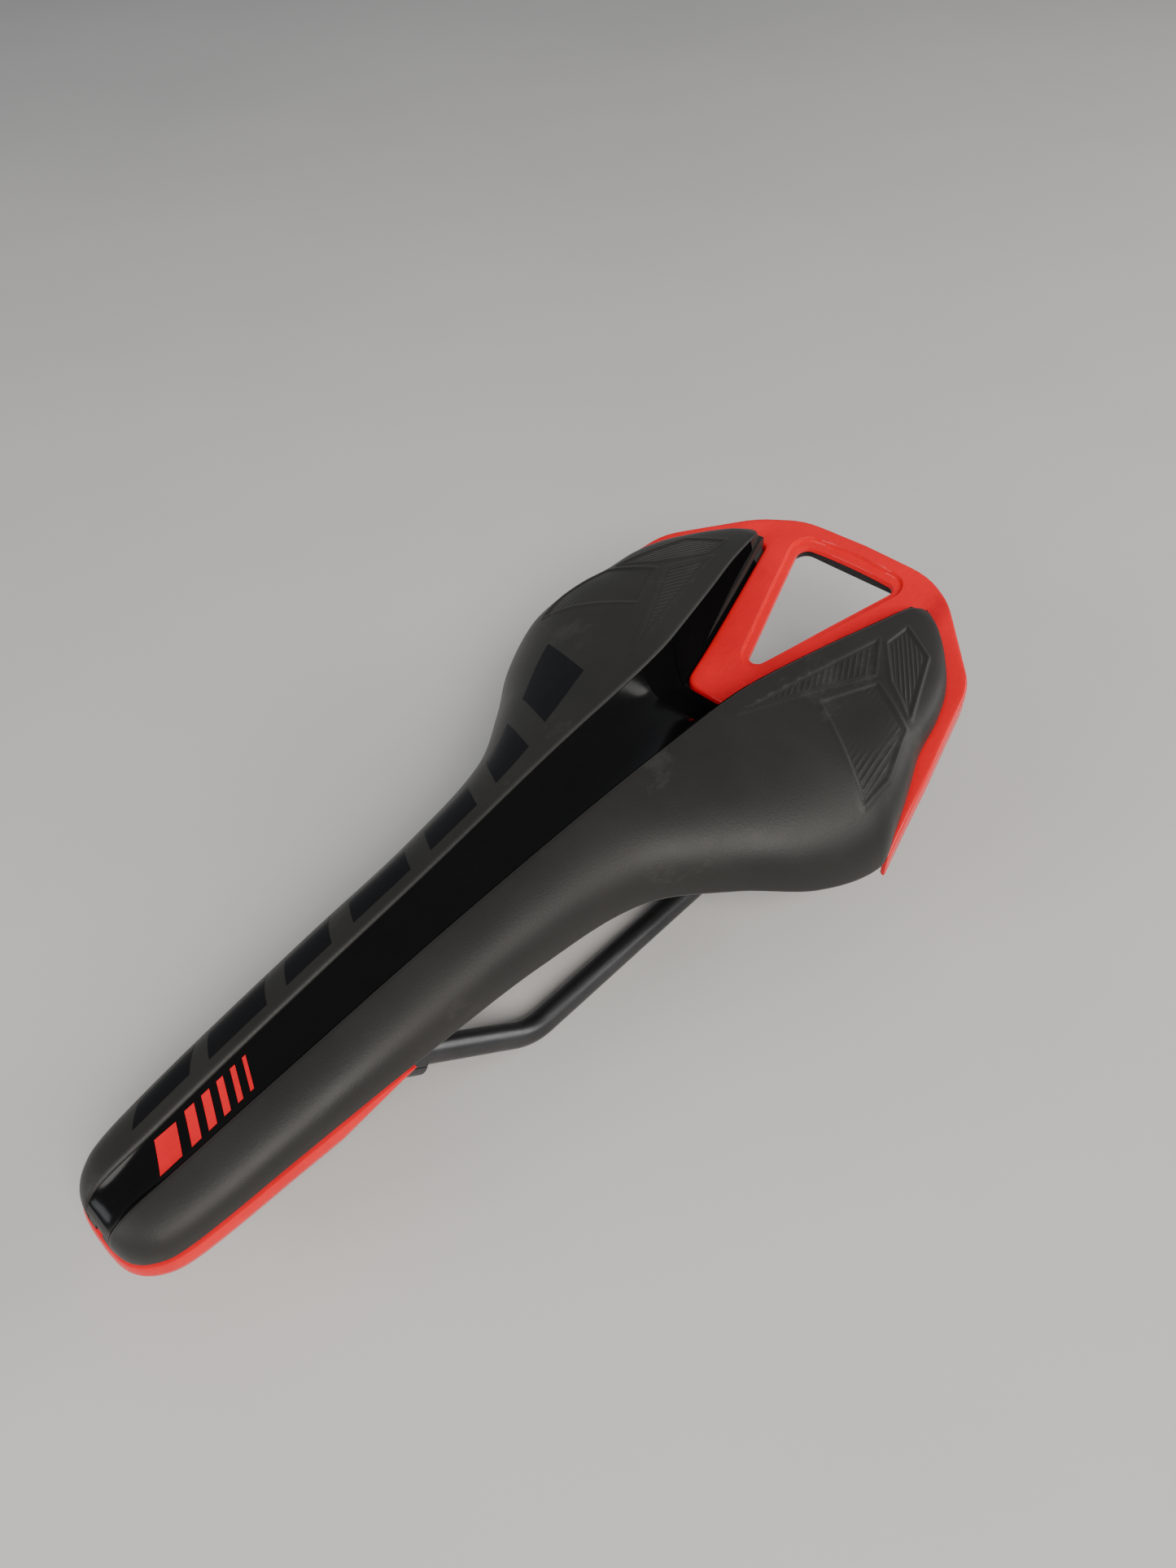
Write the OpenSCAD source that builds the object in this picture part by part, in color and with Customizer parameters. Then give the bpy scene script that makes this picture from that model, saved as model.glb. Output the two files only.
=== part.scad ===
// Road bicycle saddle. Millimetres, +Z up, nose towards -Y, tail towards +Y.
// The origin is on the ground between the rails, at the middle of the length.

/* [Saddle] */
// Overall length from the nose trim to the tail edge
saddle_len = 277; // [275:1:280]
// Overall width across the wings
saddle_w = 136; // [132:1:140]
// Thickness of the microfibre cover
cover_t = 1.2; // [0.8:0.1:1.4]
// Thickness of the gloss centre panel
strip_t = 0.9; // [0.6:0.1:1]
// Wall thickness of the moulded base shell
shell_t = 2.5; // [2:0.1:3]

/* [Rails] */
// Rod diameter of the rails
rail_d = 7; // [7:1:7]
// Centre distance of the two rails at the clamp
rail_gauge = 44; // [44:1:44]
// Length of the straight clamping stretch
clamp_len = 70; // [64:1:72]
// Centre-line radius of the rail bends
bend_r = 16; // [15:1:18]
// Rise angle of the front legs
front_rise = 34; // [33:0.5:35]
// Rise angle of the rear legs
rear_rise = 42; // [41:0.5:43]

/* [Tail frame] */
// Plate thickness of the tail frame
frame_t = 3.2; // [3:0.1:3.4]
// Height of the rim that wraps the shell edge
rim_h = 6.5; // [5:0.5:7]
// Width of the stepped ledge round the window
ledge_w = 2.6; // [2:0.2:3]

/* [Nose trim] */
// Height of the nose trim band
trim_h = 5.2; // [4:0.2:6]
// How far the trim stands out past the cover
trim_proud = 1.0; // [0.6:0.1:1]

/* [Screws] */
// Head diameter of the assembly screws
screw_head_d = 6; // [5:0.5:6]
// Shank diameter of the assembly screws
screw_d = 3; // [2.5:0.5:3]

/* [Hidden] */
$fn = 48;

// Stations run from -140 at the nose; the whole saddle then moves to put the origin mid-length
tail_y = saddle_len - 140;
wk = saddle_w / 136;
rail_x = rail_gauge / 2;
rail_r = rail_d / 2;
clamp_mid = 5;
gap = 0.25;
recess = 0.8;
fork_y = 62;
hem_w = 9;
hem_t = 0.8;

// Pad outline by station: distance along the saddle, half width of the lower edge,
// height of that edge, height of the crown on the centre line, fullness of the arch
PAD = [[-139, 5.2, 23.8, 27, 2.4], [-138.4, 8.6, 23.8, 29, 2.4], [-137, 11.6, 23.8, 31, 2.6],
       [-134.5, 14.2, 24, 32.6, 2.8], [-130, 16.6, 24.4, 33.8, 3],
       [-120, 18.4, 25.8, 35.2, 3], [-100, 20.1, 28, 38.4, 3], [-65, 22.6, 30.4, 43.4, 3],
       [-30, 25.5, 31.8, 48, 2.8], [0, 32, 33, 52, 2.5], [20, 46, 31, 54, 2.3],
       [36, 59.6, 27.8, 55, 2.3], [52, 67.1, 28.4, 56, 2.6], [61, 65, 33, 56.4, 3.2],
       [70, 61.9, 38.4, 56.8, 3.6], [79, 58.4, 43.2, 57, 3.6], [90, 56.2, 46.8, 57.2, 3.6],
       [99, 52.8, 49.4, 57.4, 3.2], [108, 46.6, 51.6, 57.4, 2.8], [116, 39.4, 53.2, 57.2, 2.5],
       [121, 33, 54, 56.6, 2.5]];

// Inner edge of each pad: distance along the saddle, half width
EDGE = [[-139, 4.6], [-134, 4.9], [-90, 6.3], [-40, 7.8], [10, 10.4], [40, 12], [52, 12.8], [62, 14.2],
        [86, 20], [103, 24.6], [121, 28.6]];

// Floor of the centre channel: distance along the saddle, height
CHANNEL = [[-139, 26], [-137.4, 29], [-134, 30.8], [-90, 38.6], [-40, 45.4], [10, 51], [30, 51.4], [45, 48.6],
           [55, 43.8], [62, 40.6]];

// Top of the base shell: distance along the saddle, centre height, edge height, half width
SHELL = [[-131, 26.8, 25.2, 12.6], [-128, 28, 25.4, 13.6], [-120, 29.6, 26.8, 15], [-100, 32.6, 29, 16.7],
         [-65, 37, 31.4, 19.2], [-30, 40.4, 32.8, 22.1], [0, 42.8, 34, 28.6], [20, 43.2, 32, 42.6],
         [36, 42.8, 28.8, 56.2], [52, 40.8, 29.4, 64], [62, 38.6, 33.6, 62.4], [70, 39, 37.2, 59.2],
         [81, 40.2, 40.2, 55.6], [92, 42.3, 42.6, 54.4], [105, 44.8, 45.2, 51], [121, 47.8, 48.4, 36],
         [137, 50.8, 51.4, 22]];

// Top of the tail frame bridge, and of its outer rim: distance along the saddle, height
BRIDGE = [[50, 41.8], [62, 42.1], [81, 43.7], [105, 48.3], [121, 51.3], [128, 52.6], [140, 55]];
RIM = [[50, 28.4], [53, 30.1], [61, 35], [70, 40], [77, 43.1], [90, 47], [105, 50.3], [120, 52.8],
       [140, 55.8]];
// Outer outline of the tail frame, one side
OUTLINE = [[68, 52], [63.4, 77], [56.3, 105.4], [27.5, tail_y - 0.9]];
// Half width of the bridge between the pads: distance along the saddle, half width
VEDGE = [[62, 9.5], [67, 11], [85, 16.2], [103, 21.2], [121, 26.4]];

// Smooth curve through a table of stations, one value per column
function seg_at(T, y, i = 0) = (i >= len(T) - 2 || y < T[i + 1][0]) ? i : seg_at(T, y, i + 1);
function slope(T, i, c) =
    let (a = max(i - 1, 0), b = min(i + 1, len(T) - 1)) (T[b][c] - T[a][c]) / (T[b][0] - T[a][0]);
function curve(T, y0, c = 1) =
    let (y = min(max(y0, T[0][0]), T[len(T) - 1][0]), i = seg_at(T, y), h = T[i + 1][0] - T[i][0],
         t = (y - T[i][0]) / h, m0 = slope(T, i, c) * h, m1 = slope(T, i + 1, c) * h)
    T[i][c] * (2 * t ^ 3 - 3 * t ^ 2 + 1) + m0 * (t ^ 3 - 2 * t ^ 2 + t)
    + T[i + 1][c] * (3 * t ^ 2 - 2 * t ^ 3) + m1 * (t ^ 3 - t ^ 2);

function pad_w(y) = curve(PAD, y, 1) * wk;
function pad_z(y) = curve(PAD, y, 2);
function crown_z(y) = curve(PAD, y, 3);
function fullness(y) = curve(PAD, y, 4);
function edge_x(y) = curve(EDGE, y);
function vee_x(y) = curve(VEDGE, y);
function bridge_z(y) = curve(BRIDGE, y);
function arch(u, n) = max(0, 1 - u ^ n) ^ (1 / n);
function shell_w(y) = curve(SHELL, y, 3) * wk;
function shell_z(x, y) =
    let (e = curve(SHELL, y, 2), c = curve(SHELL, y, 1))
    e + (c - e) * arch(min(1, abs(x) / shell_w(y)), 2.4);

// Section of the outer skin on the +X side: channel or flank first, then the crown
crown_steps = 12;
flank_steps = 4;
function crown_pts(y) =
    let (w = pad_w(y), z = pad_z(y), h = crown_z(y) - z, n = fullness(y),
         a0 = asin((edge_x(y) / w) ^ (n / 2)))
    [for (i = [0:crown_steps]) let (a = a0 + (90 - a0) * i / crown_steps)
        [w * sin(a) ^ (2 / n), z + h * max(0, cos(a)) ^ (2 / n)]];
function flank_pts(y, fork) =
    let (xe = edge_x(y) - 0.05, ze = crown_pts(y)[0][1] - recess, x0 = fork ? vee_x(y) : 0,
         z0 = fork ? bridge_z(y) - frame_t : curve(CHANNEL, y))
    [for (i = [0:flank_steps]) let (t = i / flank_steps)
        [x0 + (xe - x0) * t ^ (fork ? 1.6 : 0.8), z0 + (ze - z0) * t ^ (fork ? 0.9 : 2.4)]];

// A section moved inwards by a distance, along its own normals
function unit2(v) = v / max(norm(v), 1e-6);
function inset(P, d) = [for (i = [0:len(P) - 1])
    let (v = unit2(P[min(i + 1, len(P) - 1)] - P[max(i - 1, 0)])) P[i] + d * [v[1], -v[0]]];
function reverse(P) = [for (i = [len(P) - 1:-1:0]) P[i]];
function flip(P) = [for (p = P) [-p[0], p[1]]];
function tail(P) = [for (i = [1:len(P) - 1]) P[i]];
function but_last(P) = [for (i = [0:len(P) - 2]) P[i]];
function at_y(P, y) = [for (p = P) [p[0], y, p[1]]];
function steps(a, b, n) = [for (i = [0:n]) a + (b - a) * i / n];

// Closed solid through stations, each an upper and a lower curve of equal point count
function ring(upper, lower, y) = at_y(concat(upper, reverse(lower)), y);
module loft(rings) {
    n = len(rings[0]);
    last = (len(rings) - 1) * n;
    sides = [for (j = [0:len(rings) - 2]) for (i = [0:n - 1]) let (a = j * n + i, b = j * n + (i + 1) % n)
        each [[a, a + n, b], [b, a + n, b + n]]];
    caps = [for (i = [0:n / 2 - 2]) let (a = [i, i + 1, n - 2 - i, n - 1 - i])
        each [[a[0], a[1], a[2]], [a[0], a[2], a[3]],
              [last + a[2], last + a[1], last + a[0]], [last + a[3], last + a[2], last + a[0]]]];
    polyhedron(points = [for (r = rings) each r], faces = concat(sides, caps), convexity = 8);
}
// Both halves of a section that starts on the centre line
function whole(P) = concat(flip(reverse(P)), tail(P));
// Whole saddle moved along to centre its length on the origin
module place() { translate([0, 140 - saddle_len / 2, 0]) children(); }
// The same solid on the other side of the saddle
module both_sides() {
    children();
    mirror([1, 0, 0]) children();
}

nose_ys = [-139, -138.7, -138, -137, -135.4, -133, -130, -125, -118];
body_ys = [for (y = [-108:12:48]) y];
fork_ys = [54, 58, 62];
tail_ys = [62, 66, 70, 75, 80, 86, 92, 98, 103, 108, 113, 117, 119.5, 121];

// ---- Padding and cover -------------------------------------------------------

// Matte cover of one pad: the outer skin, then the hem folded under the shell edge
function cover_ring(y) =
    let (P = crown_pts(y), w = pad_w(y), z = pad_z(y), h = min(hem_w, (w - edge_x(y)) * 0.45))
    ring(concat(P, [[w - h, z]]), concat(but_last(inset(P, cover_t)),
         [[w - cover_t, z + hem_t], [w - h, z + hem_t]]), y);
module cover_half() {
    loft([for (y = concat(nose_ys, body_ys, fork_ys, tail(tail_ys))) cover_ring(y)]);
}
module cover_left() { place() color([0.13, 0.13, 0.13]) cover_half(); }
module cover_right() { place() color([0.13, 0.13, 0.13]) mirror([1, 0, 0]) cover_half(); }

// Gloss panel: the channel along the middle, forking into the inner flank of each pad
function strip_ring(y) = let (P = flank_pts(y, false)) ring(whole(P), whole(inset(P, strip_t)), y);
function arm_ring(y) = let (P = flank_pts(y, true)) ring(P, inset(P, strip_t), y);
module centre_strip() {
    place() color([0.03, 0.03, 0.03]) {
        loft([for (y = concat([-138.4, -137.4, -136, -133, -130, -125, -118], body_ys, fork_ys))
            strip_ring(y)]);
        both_sides() loft([for (y = concat([61.8], but_last(tail_ys))) arm_ring(y)]);
    }
}

// Moulded foam between the cover and the base shell, one pad a side of the middle
function foam_floor(x, y) = y < -131.1 ? pad_z(y) + hem_t + 0.05 : shell_z(x, y) + gap;
function foam_top(y, fork) =
    let (w = pad_w(y), z = pad_z(y))
    concat(tail(inset(flank_pts(y, fork), strip_t + 0.03)), but_last(tail(inset(crown_pts(y), cover_t + 0.03))),
           [[w - cover_t - 0.05, z + hem_t + 0.05]]);
function foam_bottom(y, x0) = let (x1 = min(pad_w(y) - 3.2, shell_w(y) - 0.1))
    [for (x = steps(x0, x1, flank_steps + crown_steps - 1)) [x, foam_floor(x, y)]];
function foam_ring(y, fork) = let (P = foam_top(y, fork)) ring(P, foam_bottom(y, P[0][0]), y);
module foam() {
    loft(concat([for (y = concat([-137.6, -137, -135.4, -133, -131.2, -130.9, -125, -118], body_ys,
                                 but_last(fork_ys), [61.9])) foam_ring(y, false)],
                [for (y = concat([62.1], but_last(tail(tail_ys)))) foam_ring(y, true)]));
}
module foam_left() { place() color([0.25, 0.25, 0.24]) foam(); }
module foam_right() { place() color([0.25, 0.25, 0.24]) mirror([1, 0, 0]) foam(); }

// ---- Base shell ----------------------------------------------------------------

shell_ys = concat([-131, -126, -118], [for (y = [-106:14:62]) y], [for (y = [70:8:126]) y], [130, 134.2]);
function shell_top(y) = [for (a = steps(0, 90, 9)) let (x = shell_w(y) * sin(a)) [x, shell_z(x, y)]];
function shell_ring(y) = let (P = shell_top(y)) ring(whole(P), whole(inset(P, shell_t)), y);
// Underside of the shell, measured straight down
function shell_under(x, y) =
    shell_z(x, y) - shell_t * norm([1, (shell_z(abs(x) + 1, y) - shell_z(abs(x) - 1, y)) / 2]);

// Window in the tail, as an outline grown by a margin
module window(m) {
    hull() {
        translate([0, 84.5]) circle(r = 2.6 + m);
        both_sides() translate([14, 125.6]) circle(r = 3 + m);
    }
}
// A rib under the shell, from one place to another
rib_h = 3.2;
rib_w = 1.8;
module rib(x0, y0, x1, y1) {
    loft([for (t = steps(0, 1, 8)) let (x = x0 + (x1 - x0) * t, y = y0 + (y1 - y0) * t,
        z = shell_under(x, y), w = rib_w / 2)
        ring([[x - w, z + 0.8], [x + w, z + 0.8]], [[x - w, z - rib_h], [x + w, z - rib_h]], y)]);
}
module base_shell() {
    place() color([0.07, 0.07, 0.08]) difference() {
        union() {
            loft([for (y = shell_ys) shell_ring(y)]);
            both_sides() {
                rib(9, -66, 11, 52);
                rib(17, 20, 36, 58);
            }
            for (p = frame_screws) screw_pad(p);
            screw_pad(trim_screw);
        }
        linear_extrude(height = 80) window(1.2);
        for (p = concat(frame_screws, clamp_screw_tops, socket_screws, [trim_screw]))
            translate([p[0], p[1], 15]) cylinder(d = screw_d + 0.1, h = 45);
    }
}

// ---- Screws --------------------------------------------------------------------

// Feet of the screws: place across, place along
frame_screws = [[0, 72], [24, 128], [-24, 128]];
trim_screw = [0, -122];
seat_z = 1.6;
function seat(p) = shell_under(p[0], p[1]) - seat_z;
module screw_pad(p) {
    translate([p[0], p[1], seat(p)]) cylinder(d = screw_head_d + 3, h = seat_z + 1.2);
}
// Pan-head screw with a hexagon socket, pointing up, the head's seat at the origin
head_h = 2.2;
module screw(len) {
    difference() {
        union() {
            translate([0, 0, -head_h]) cylinder(d = screw_head_d, h = head_h);
            translate([0, 0, -0.01]) cylinder(d = screw_d, h = len);
        }
        translate([0, 0, -head_h - 0.1]) cylinder(d = 3, h = 1.4, $fn = 6);
    }
}
steel = [0.6, 0.6, 0.62];

// ---- Tail frame ------------------------------------------------------------------

function frame_z(x, y) =
    let (t = min(1, max(0, (abs(x) - 28) / 10)), s = t * t * (3 - 2 * t), b = bridge_z(y))
    b + (curve(RIM, y) - b) * s;
slab_xs = [-70, -62, -54, -46, -38, -34.5, -31, -28, -14, 0, 14, 28, 31, 34.5, 38, 46, 54, 62, 70];
slab_ys = concat([for (y = [50:4:138]) y], [141]);
// Layer of the tail surface, between two depths below its top
module slab(top, bottom) {
    loft([for (y = slab_ys) ring([for (x = slab_xs) [x, frame_z(x, y) - top]],
        [for (x = slab_xs) [x, frame_z(x, y) - bottom]], y)]);
}
// Corner rounded by a curve that starts a distance before it
function rounded(a, p, b, r) = let (u = p + r * unit2(a - p), v = p + r * unit2(b - p))
    [for (t = steps(0, 1, 6)) (1 - t) ^ 2 * u + 2 * t * (1 - t) * p + t ^ 2 * v];
outline_half = concat([[0, 52], OUTLINE[0]], rounded(OUTLINE[0], OUTLINE[1], OUTLINE[2], 3),
    rounded(OUTLINE[1], OUTLINE[2], OUTLINE[3], 5), rounded(OUTLINE[2], OUTLINE[3], [0, tail_y], 11),
    [[0, tail_y]]);
module tail_outline() { both_sides() polygon(outline_half); }
module pad_cut() {
    both_sides() polygon(concat([for (y = steps(50, 121.3, 24)) [pad_w(y) + gap, y]],
        [for (y = steps(121.3, 50, 24)) [vee_x(max(y, fork_y)) - 0.1, y]]));
}
module bridge_plan() {
    ys = steps(fork_y + 5, 122, 12);
    tip = [vee_x(fork_y + 0.8) - 0.2, fork_y + 0.8];
    both_sides() polygon(concat([[0, tip[1]]], rounded([0, tip[1]], tip, [vee_x(ys[0]), ys[0]], 3.6),
        [for (y = ys) [vee_x(y) - 0.2, y]], [[0, 122]]));
}
module frame_plan() {
    difference() {
        tail_outline();
        pad_cut();
        translate([-40, 40]) square([80, 80]);
    }
    bridge_plan();
}
module rim_plan() {
    difference() {
        tail_outline();
        offset(delta = -2.3) tail_outline();
        pad_cut();
        translate([-60, 40]) square([120, 15]);
    }
}
ledge_drop = 1.5;
module rear_frame() {
    place() color([0.85, 0.07, 0.05]) difference() {
        union() {
            intersection() {
                slab(0, frame_t);
                linear_extrude(height = 80) frame_plan();
            }
            intersection() {
                slab(0.5, rim_h);
                linear_extrude(height = 80) rim_plan();
            }
        }
        linear_extrude(height = 80) window(0);
        intersection() {
            slab(-3, ledge_drop);
            linear_extrude(height = 80) window(ledge_w);
        }
        for (p = frame_screws)
            translate([p[0], p[1], 20]) cylinder(d = screw_d, h = frame_z(p[0], p[1]) - 20.8);
    }
}
module rear_frame_screws() {
    place() color(steel) for (p = frame_screws)
        translate([p[0], p[1], seat(p) - 0.02]) screw(frame_z(p[0], p[1]) - seat(p) - 1);
}

// ---- Nose trim --------------------------------------------------------------------

trim_ys = [-68, -74, -82, -94, -106, -116, -124, -129, -132, -134.4, -136.4, -137.8, -138.6];
trim_half = concat([for (y = trim_ys) [pad_w(y), y]], [[3.4, -139]]);
trim_path = concat(trim_half, [[0, -139]], flip(reverse(trim_half)));
function path_normal(P, i) =
    let (v = unit2(P[min(i + 1, len(P) - 1)] - P[max(i - 1, 0)])) [-v[1], v[0]];
// Section of the band at one place: a proud, softly ridged outer face
function trim_ring(i) =
    let (p = trim_path[i], n = path_normal(trim_path, i), y = p[1], z = pad_z(y) - 0.1,
         s = min(1, 0.15 + (-68 - y) / 24), h = trim_h * s * (1 - 0.3 * exp(-(p[0] / 7) ^ 2)))
    [for (q = [[-2.2, 0], [-2.2, -h], [-0.4, -h], [trim_proud * 0.8 * s, -h * 0.7],
               [trim_proud * s, -h * 0.35], [trim_proud * 0.4 * s, 0]])
        [p[0] + n[0] * q[0], y + n[1] * q[0], z + q[1]]];
// Web across the inside of the band, with a boss that meets the screw pad of the shell
web_z = pad_z(-139) - 3.4;
module nose_trim() {
    place() color([0.85, 0.07, 0.05]) {
        loft([for (i = [0:len(trim_path) - 1]) trim_ring(i)]);
        difference() {
            union() {
                translate([0, 0, web_z]) linear_extrude(height = 2) both_sides()
                    polygon(concat([[0, -112]],
                        [for (y = [-112, -120, -126, -130, -133, -136]) [pad_w(y) - 1.5, y]], [[0, -137.6]]));
                translate([trim_screw[0], trim_screw[1], web_z])
                    cylinder(d = screw_head_d + 3, h = seat(trim_screw) - web_z - 0.05);
            }
            translate([trim_screw[0], trim_screw[1], 0]) cylinder(d = screw_d + 0.1, h = 40);
        }
    }
}
module nose_trim_screw() {
    place() color(steel) translate([trim_screw[0], trim_screw[1], web_z - 0.02])
        screw(shell_z(0, trim_screw[1]) - web_z - 0.3);
}

// ---- Rails ----------------------------------------------------------------------------

front_leg = 43;
rear_leg = 39;
front_lean = 24;
rear_lean = 9;
plug = 14;
function leg_y(a, len) = bend_r * sin(a) + len * cos(a);
function leg_rise(a, len) = bend_r * (1 - cos(a)) + len * sin(a);
// Place at the end of the clamp stretch, +Y leading away from it, leaned about the rail
module rail_end(front) {
    lean = front ? -front_lean : rear_lean;
    translate([rail_x, clamp_mid, rail_r]) mirror([0, front ? 1 : 0, 0])
        translate([0, clamp_len / 2, 0]) rotate([0, lean, 0]) children();
}
// Place on the straight part of a leg, +Z leading along it
module on_leg(a, len) {
    translate([0, leg_y(a, len), leg_rise(a, len)]) rotate([a - 90, 0, 0]) children();
}
module leg(a, len) {
    translate([0, 0, bend_r]) rotate([0, 90, 0]) rotate_extrude(angle = a) translate([bend_r, 0])
        circle(r = rail_r);
    on_leg(a, 0) cylinder(r = rail_r, h = len);
    on_leg(a, 0) sphere(r = rail_r + 0.03);
}
module half_rail(front, a, len) {
    rail_end(front) {
        translate([0, -clamp_len / 2 - 4, 0]) rotate([-90, 0, 0]) cylinder(r = rail_r, h = clamp_len / 2 + 4);
        leg(a, len);
    }
}
module rail() {
    half_rail(true, front_rise, front_leg);
    half_rail(false, rear_rise, rear_leg);
}
module rail_left() { place() color([0.3, 0.3, 0.31]) rail(); }
module rail_right() { place() color([0.3, 0.3, 0.31]) mirror([1, 0, 0]) rail(); }

// ---- Rail holders ---------------------------------------------------------------------

// Everything above the underside of the shell near a holder, to trim the holder to it
module above_shell(x0, x1, y0, y1) {
    xs = steps(x0, x1, 6);
    loft([for (y = steps(y0, y1, 4)) ring([for (x = xs) [x, 80]],
        [for (x = xs) [x, shell_under(x, y) - 0.15]], y)]);
}
hold_r = 5.6;
bore_r = rail_r + 0.04;
front_y = clamp_mid - clamp_len / 2 - leg_y(front_rise, front_leg);
front_z = rail_r + leg_rise(front_rise, front_leg) * cos(front_lean);
front_x = rail_x - leg_rise(front_rise, front_leg) * sin(front_lean);
// Slope of the plane that holds both front legs
split_a = atan(sin(front_rise) * cos(front_lean) / cos(front_rise));
clamp_screw_tops = [[0, front_y + 3], [0, front_y + 12]];
module nose_block() {
    difference() {
        hull() {
            both_sides() rail_end(true) on_leg(front_rise, front_leg - plug)
                cylinder(r = hold_r, h = plug + 2, $fn = 28);
            translate([-7, front_y + 2, front_z + 5]) cube([14, 12, 6]);
        }
        both_sides() rail_end(true) on_leg(front_rise, front_leg - plug - 9)
            cylinder(r = bore_r, h = plug + 9);
        above_shell(-19, 19, front_y - 14, front_y + 26);
        for (p = clamp_screw_tops) translate([p[0], p[1], 0]) cylinder(d = screw_d + 0.1, h = 60);
    }
}
// Half space below the split plane of the nose holder, lowered by a distance
module below_split(d) {
    translate([0, front_y, front_z]) rotate([-split_a, 0, 0]) translate([-40, -40, -40 - d])
        cube([80, 80, 40]);
}
module nose_socket() {
    place() color([0.09, 0.09, 0.1]) difference() {
        nose_block();
        below_split(-0.15);
    }
}
module nose_clamp_plate() {
    place() color([0.09, 0.09, 0.1]) difference() {
        intersection() {
            nose_block();
            below_split(0.15);
        }
        for (p = clamp_screw_tops) translate([p[0], p[1], 0]) cylinder(d = screw_head_d + 0.4, h = head_z(p));
    }
}
function head_z(p) = front_z + (front_y - p[1]) * tan(split_a) - 2.6;
module nose_clamp_screws() {
    place() color(steel) for (p = clamp_screw_tops)
        translate([p[0], p[1], head_z(p) - 0.02]) screw(shell_z(p[0], p[1]) - head_z(p) - 0.3);
}

rear_y = clamp_mid + clamp_len / 2 + leg_y(rear_rise, rear_leg);
rear_z = rail_r + leg_rise(rear_rise, rear_leg) * cos(rear_lean);
rear_x = rail_x + leg_rise(rear_rise, rear_leg) * sin(rear_lean);
ear_y = [rear_y - 17, rear_y + 13];
socket_screws = [for (s = [-1, 1]) for (y = ear_y) [s * rear_x, y]];
ear_t = 3;
function ear_z(y) = shell_under(rear_x, y) - ear_t;
module rear_socket() {
    difference() {
        union() {
            hull() {
                rail_end(false) on_leg(rear_rise, rear_leg - plug) cylinder(r = hold_r, h = plug + 2, $fn = 28);
                translate([rear_x, rear_y - 3, rear_z + 2]) cylinder(r = 6, h = 8, $fn = 28);
            }
            hull() for (y = ear_y)
                translate([rear_x, y, ear_z(y)]) cylinder(r = 4.6, h = 6, $fn = 28);
        }
        rail_end(false) on_leg(rear_rise, rear_leg - plug - 9) cylinder(r = bore_r, h = plug + 9);
        above_shell(rear_x - 9, rear_x + 9, rear_y - 26, rear_y + 24);
        for (y = ear_y) {
            translate([rear_x, y, 0]) cylinder(d = screw_d + 0.1, h = 60);
            translate([rear_x, y, 0]) cylinder(d = screw_head_d + 0.4, h = ear_z(y) - 0.1);
        }
    }
}
module rear_socket_left() { place() color([0.09, 0.09, 0.1]) rear_socket(); }
module rear_socket_right() { place() color([0.09, 0.09, 0.1]) mirror([1, 0, 0]) rear_socket(); }
module rear_socket_screws() {
    place() color(steel) for (p = socket_screws)
        translate([p[0], p[1], ear_z(p[1]) - 0.12]) screw(ear_t + shell_t - 0.2);
}

base_shell();
foam_left();
foam_right();
cover_left();
cover_right();
centre_strip();
rear_frame();
nose_trim();
rail_left();
rail_right();
nose_socket();
nose_clamp_plate();
nose_clamp_screws();
rear_socket_left();
rear_socket_right();
rear_socket_screws();
rear_frame_screws();
nose_trim_screw();
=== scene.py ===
import math
import bmesh
import bpy
import numpy as np
from mathutils import Matrix, Vector
from mathutils.geometry import delaunay_2d_cdt


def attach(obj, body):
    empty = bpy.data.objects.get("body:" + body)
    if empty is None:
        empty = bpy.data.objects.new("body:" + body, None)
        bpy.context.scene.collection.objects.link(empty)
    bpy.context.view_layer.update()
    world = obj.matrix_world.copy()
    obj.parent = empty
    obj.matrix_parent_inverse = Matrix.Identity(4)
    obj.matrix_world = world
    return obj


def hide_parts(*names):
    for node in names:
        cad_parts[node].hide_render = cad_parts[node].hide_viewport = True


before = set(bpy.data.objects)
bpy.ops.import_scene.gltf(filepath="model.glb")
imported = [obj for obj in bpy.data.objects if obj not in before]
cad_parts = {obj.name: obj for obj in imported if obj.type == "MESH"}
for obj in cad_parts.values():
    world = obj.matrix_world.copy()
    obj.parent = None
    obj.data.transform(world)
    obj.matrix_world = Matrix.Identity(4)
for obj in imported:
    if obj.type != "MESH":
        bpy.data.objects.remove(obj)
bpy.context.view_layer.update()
MM = 0.001
SHIFT = 1.5  # the stations run from -140 to 137, and the saddle is centred on the origin

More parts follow.
